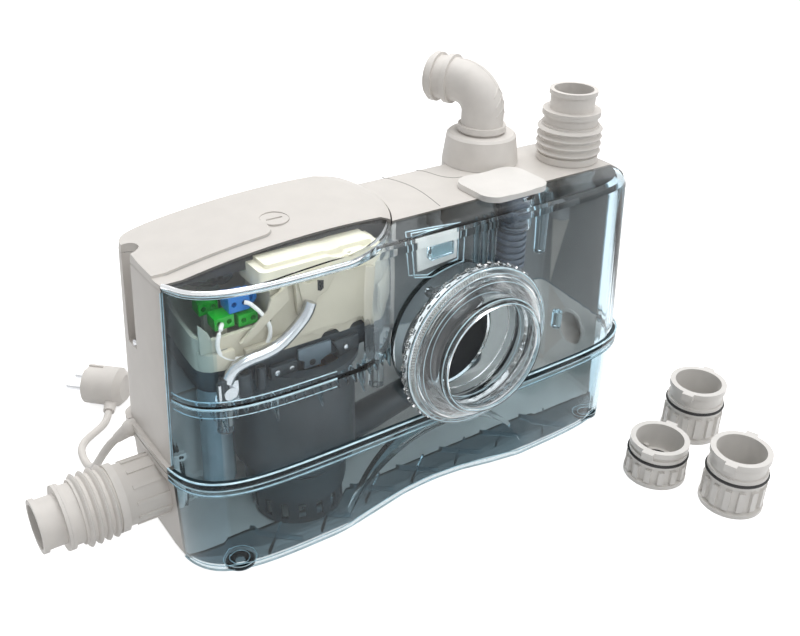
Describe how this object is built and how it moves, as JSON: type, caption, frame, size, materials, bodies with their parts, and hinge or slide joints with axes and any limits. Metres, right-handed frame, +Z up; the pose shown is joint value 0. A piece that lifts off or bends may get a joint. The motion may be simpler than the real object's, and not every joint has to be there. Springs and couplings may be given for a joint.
{
  "type": "sewage lifting station",
  "caption": "Compact sewage lifting station with clear front, dry motor bay, side and top inlet sleeves, swivel discharge elbow and loose valve connectors.",
  "frame": {"origin": "centre of the base of the casing, on the floor", "axes": "+X to the right along the casing seen from the clear front, +Y to the rear, +Z up"},
  "size_m": [0.6039, 0.494, 0.3342],
  "materials": {
    "shell_white": "moulded",
    "clear_shell": "clear acrylic",
    "grey_rubber": "smooth",
    "black_rubber": "smooth",
    "motor_grey": "moulded",
    "steel": "bright",
    "copper": "lacquered winding",
    "beige_plastic": "moulded",
    "board_green": "lacquered board",
    "green_plastic": "moulded",
    "blue_plastic": "moulded",
    "white_wire": "sheath"
  },
  "bodies": {
    "casing": {"tank_rear": "shell_white", "tank_front": "clear_shell", "seam_gasket": "black_rubber", "cover_rear": "shell_white", "cover_front": "clear_shell", "casing_feet": "black_rubber", "casing_screws": "steel", "wc_clamp_ring": "clear_shell", "wc_sleeve": "clear_shell", "left_sleeve": "grey_rubber", "top_sleeve": "grey_rubber", "right_cap": "grey_rubber", "motor_housing": "motor_grey", "motor_cover": "motor_grey", "stator": "copper", "motor_bearings": "steel", "shaft_seal": "black_rubber", "pump_volute": "motor_grey", "suction_basket": "motor_grey", "air_chamber": "clear_shell", "pressure_hose": "black_rubber", "pressure_switch": "clear_shell", "electronics_tray": "beige_plastic", "capacitor_box": "beige_plastic", "control_board": "board_green", "terminals_green": "green_plastic", "terminal_blue": "blue_plastic", "wiring": "white_wire", "lift_handle": "steel", "handle_bolt": "steel", "riser_pipe": "motor_grey", "discharge_cap": "grey_rubber", "cable_gland": "grey_rubber", "power_cord": "grey_rubber", "plug_body": "grey_rubber", "plug_pins": "steel"},
    "rotor_set": {"rotor": "steel", "motor_shaft": "steel", "impeller": "motor_grey", "cutter": "steel"},
    "lid": {"lid_rear": "shell_white", "lid_front": "clear_shell"},
    "lid_fastener": {"lid_screw": "shell_white"},
    "vent": {"vent_cap": "shell_white", "filter_cartridge": "motor_grey"},
    "toilet_flap": {"wc_flap": "black_rubber"},
    "side_inlet_flap": {"left_flap": "black_rubber"},
    "non_return_flap": {"discharge_flap": "black_rubber"},
    "outlet_elbow": {"discharge_elbow": "grey_rubber"},
    "connector_1": {"valve_1_body": "shell_white", "valve_1_ring": "black_rubber"},
    "connector_1_flap": {"valve_1_flap": "black_rubber"},
    "connector_2": {"valve_2_body": "shell_white", "valve_2_ring": "black_rubber"},
    "connector_2_flap": {"valve_2_flap": "black_rubber"},
    "connector_3": {"valve_3_body": "shell_white", "valve_3_ring": "black_rubber"},
    "connector_3_flap": {"valve_3_flap": "black_rubber"}
  },
  "joints": [
    {"name": "rotor_spin", "type": "hinge", "parent": "casing", "child": "rotor_set", "pos_m": [-0.11, -0.005, 0.09], "axis": [0, 0, 1], "continuous": true},
    {"name": "lid_lift", "type": "slide", "parent": "casing", "child": "lid", "axis": [0, 0, 1], "range_m": [0, 0.06]},
    {"name": "lid_screw_turn", "type": "hinge", "parent": "lid", "child": "lid_fastener", "pos_m": [-0.112, 0.01, 0.25], "axis": [0, 0, 1], "range_deg": [0, 90]},
    {"name": "vent_lift", "type": "slide", "parent": "casing", "child": "vent", "axis": [0, 0, 1], "range_m": [0, 0.04]},
    {"name": "toilet_flap_swing", "type": "hinge", "parent": "casing", "child": "toilet_flap", "pos_m": [0.018, -0.0393, 0.1834], "axis": [1, 0, 0], "range_deg": [0, 22]},
    {"name": "side_inlet_flap_swing", "type": "hinge", "parent": "casing", "child": "side_inlet_flap", "pos_m": [-0.20845, 0.01, 0.0833], "axis": [0, -1, 0], "range_deg": [0, 55]},
    {"name": "non_return_flap_swing", "type": "hinge", "parent": "casing", "child": "non_return_flap", "pos_m": [0.115, 0.0573, 0.2389], "axis": [-1, 0, 0], "range_deg": [0, 60]},
    {"name": "elbow_swivel", "type": "hinge", "parent": "casing", "child": "outlet_elbow", "pos_m": [0.115, 0.048, 0.27], "axis": [0, 0, 1], "continuous": true},
    {"name": "connector_1_lift", "type": "slide", "parent": "casing", "child": "connector_1", "axis": [0, 0, 1], "range_m": [0, 0.05]},
    {"name": "connector_1_flap_swing", "type": "hinge", "parent": "connector_1", "child": "connector_1_flap", "pos_m": [0.2556, -0.106, 0.0179], "axis": [-1, 0, 0], "range_deg": [0, 60]},
    {"name": "connector_2_lift", "type": "slide", "parent": "casing", "child": "connector_2", "axis": [0, 0, 1], "range_m": [0, 0.05]},
    {"name": "connector_2_flap_swing", "type": "hinge", "parent": "connector_2", "child": "connector_2_flap", "pos_m": [0.1769, -0.1328, 0.0128], "axis": [-1, 0, 0], "range_deg": [0, 40]},
    {"name": "connector_3_lift", "type": "slide", "parent": "casing", "child": "connector_3", "axis": [0, 0, 1], "range_m": [0, 0.05]},
    {"name": "connector_3_flap_swing", "type": "hinge", "parent": "connector_3", "child": "connector_3_flap", "pos_m": [0.2036, -0.1961, 0.0179], "axis": [-1, 0, 0], "range_deg": [0, 60]}
  ]
}
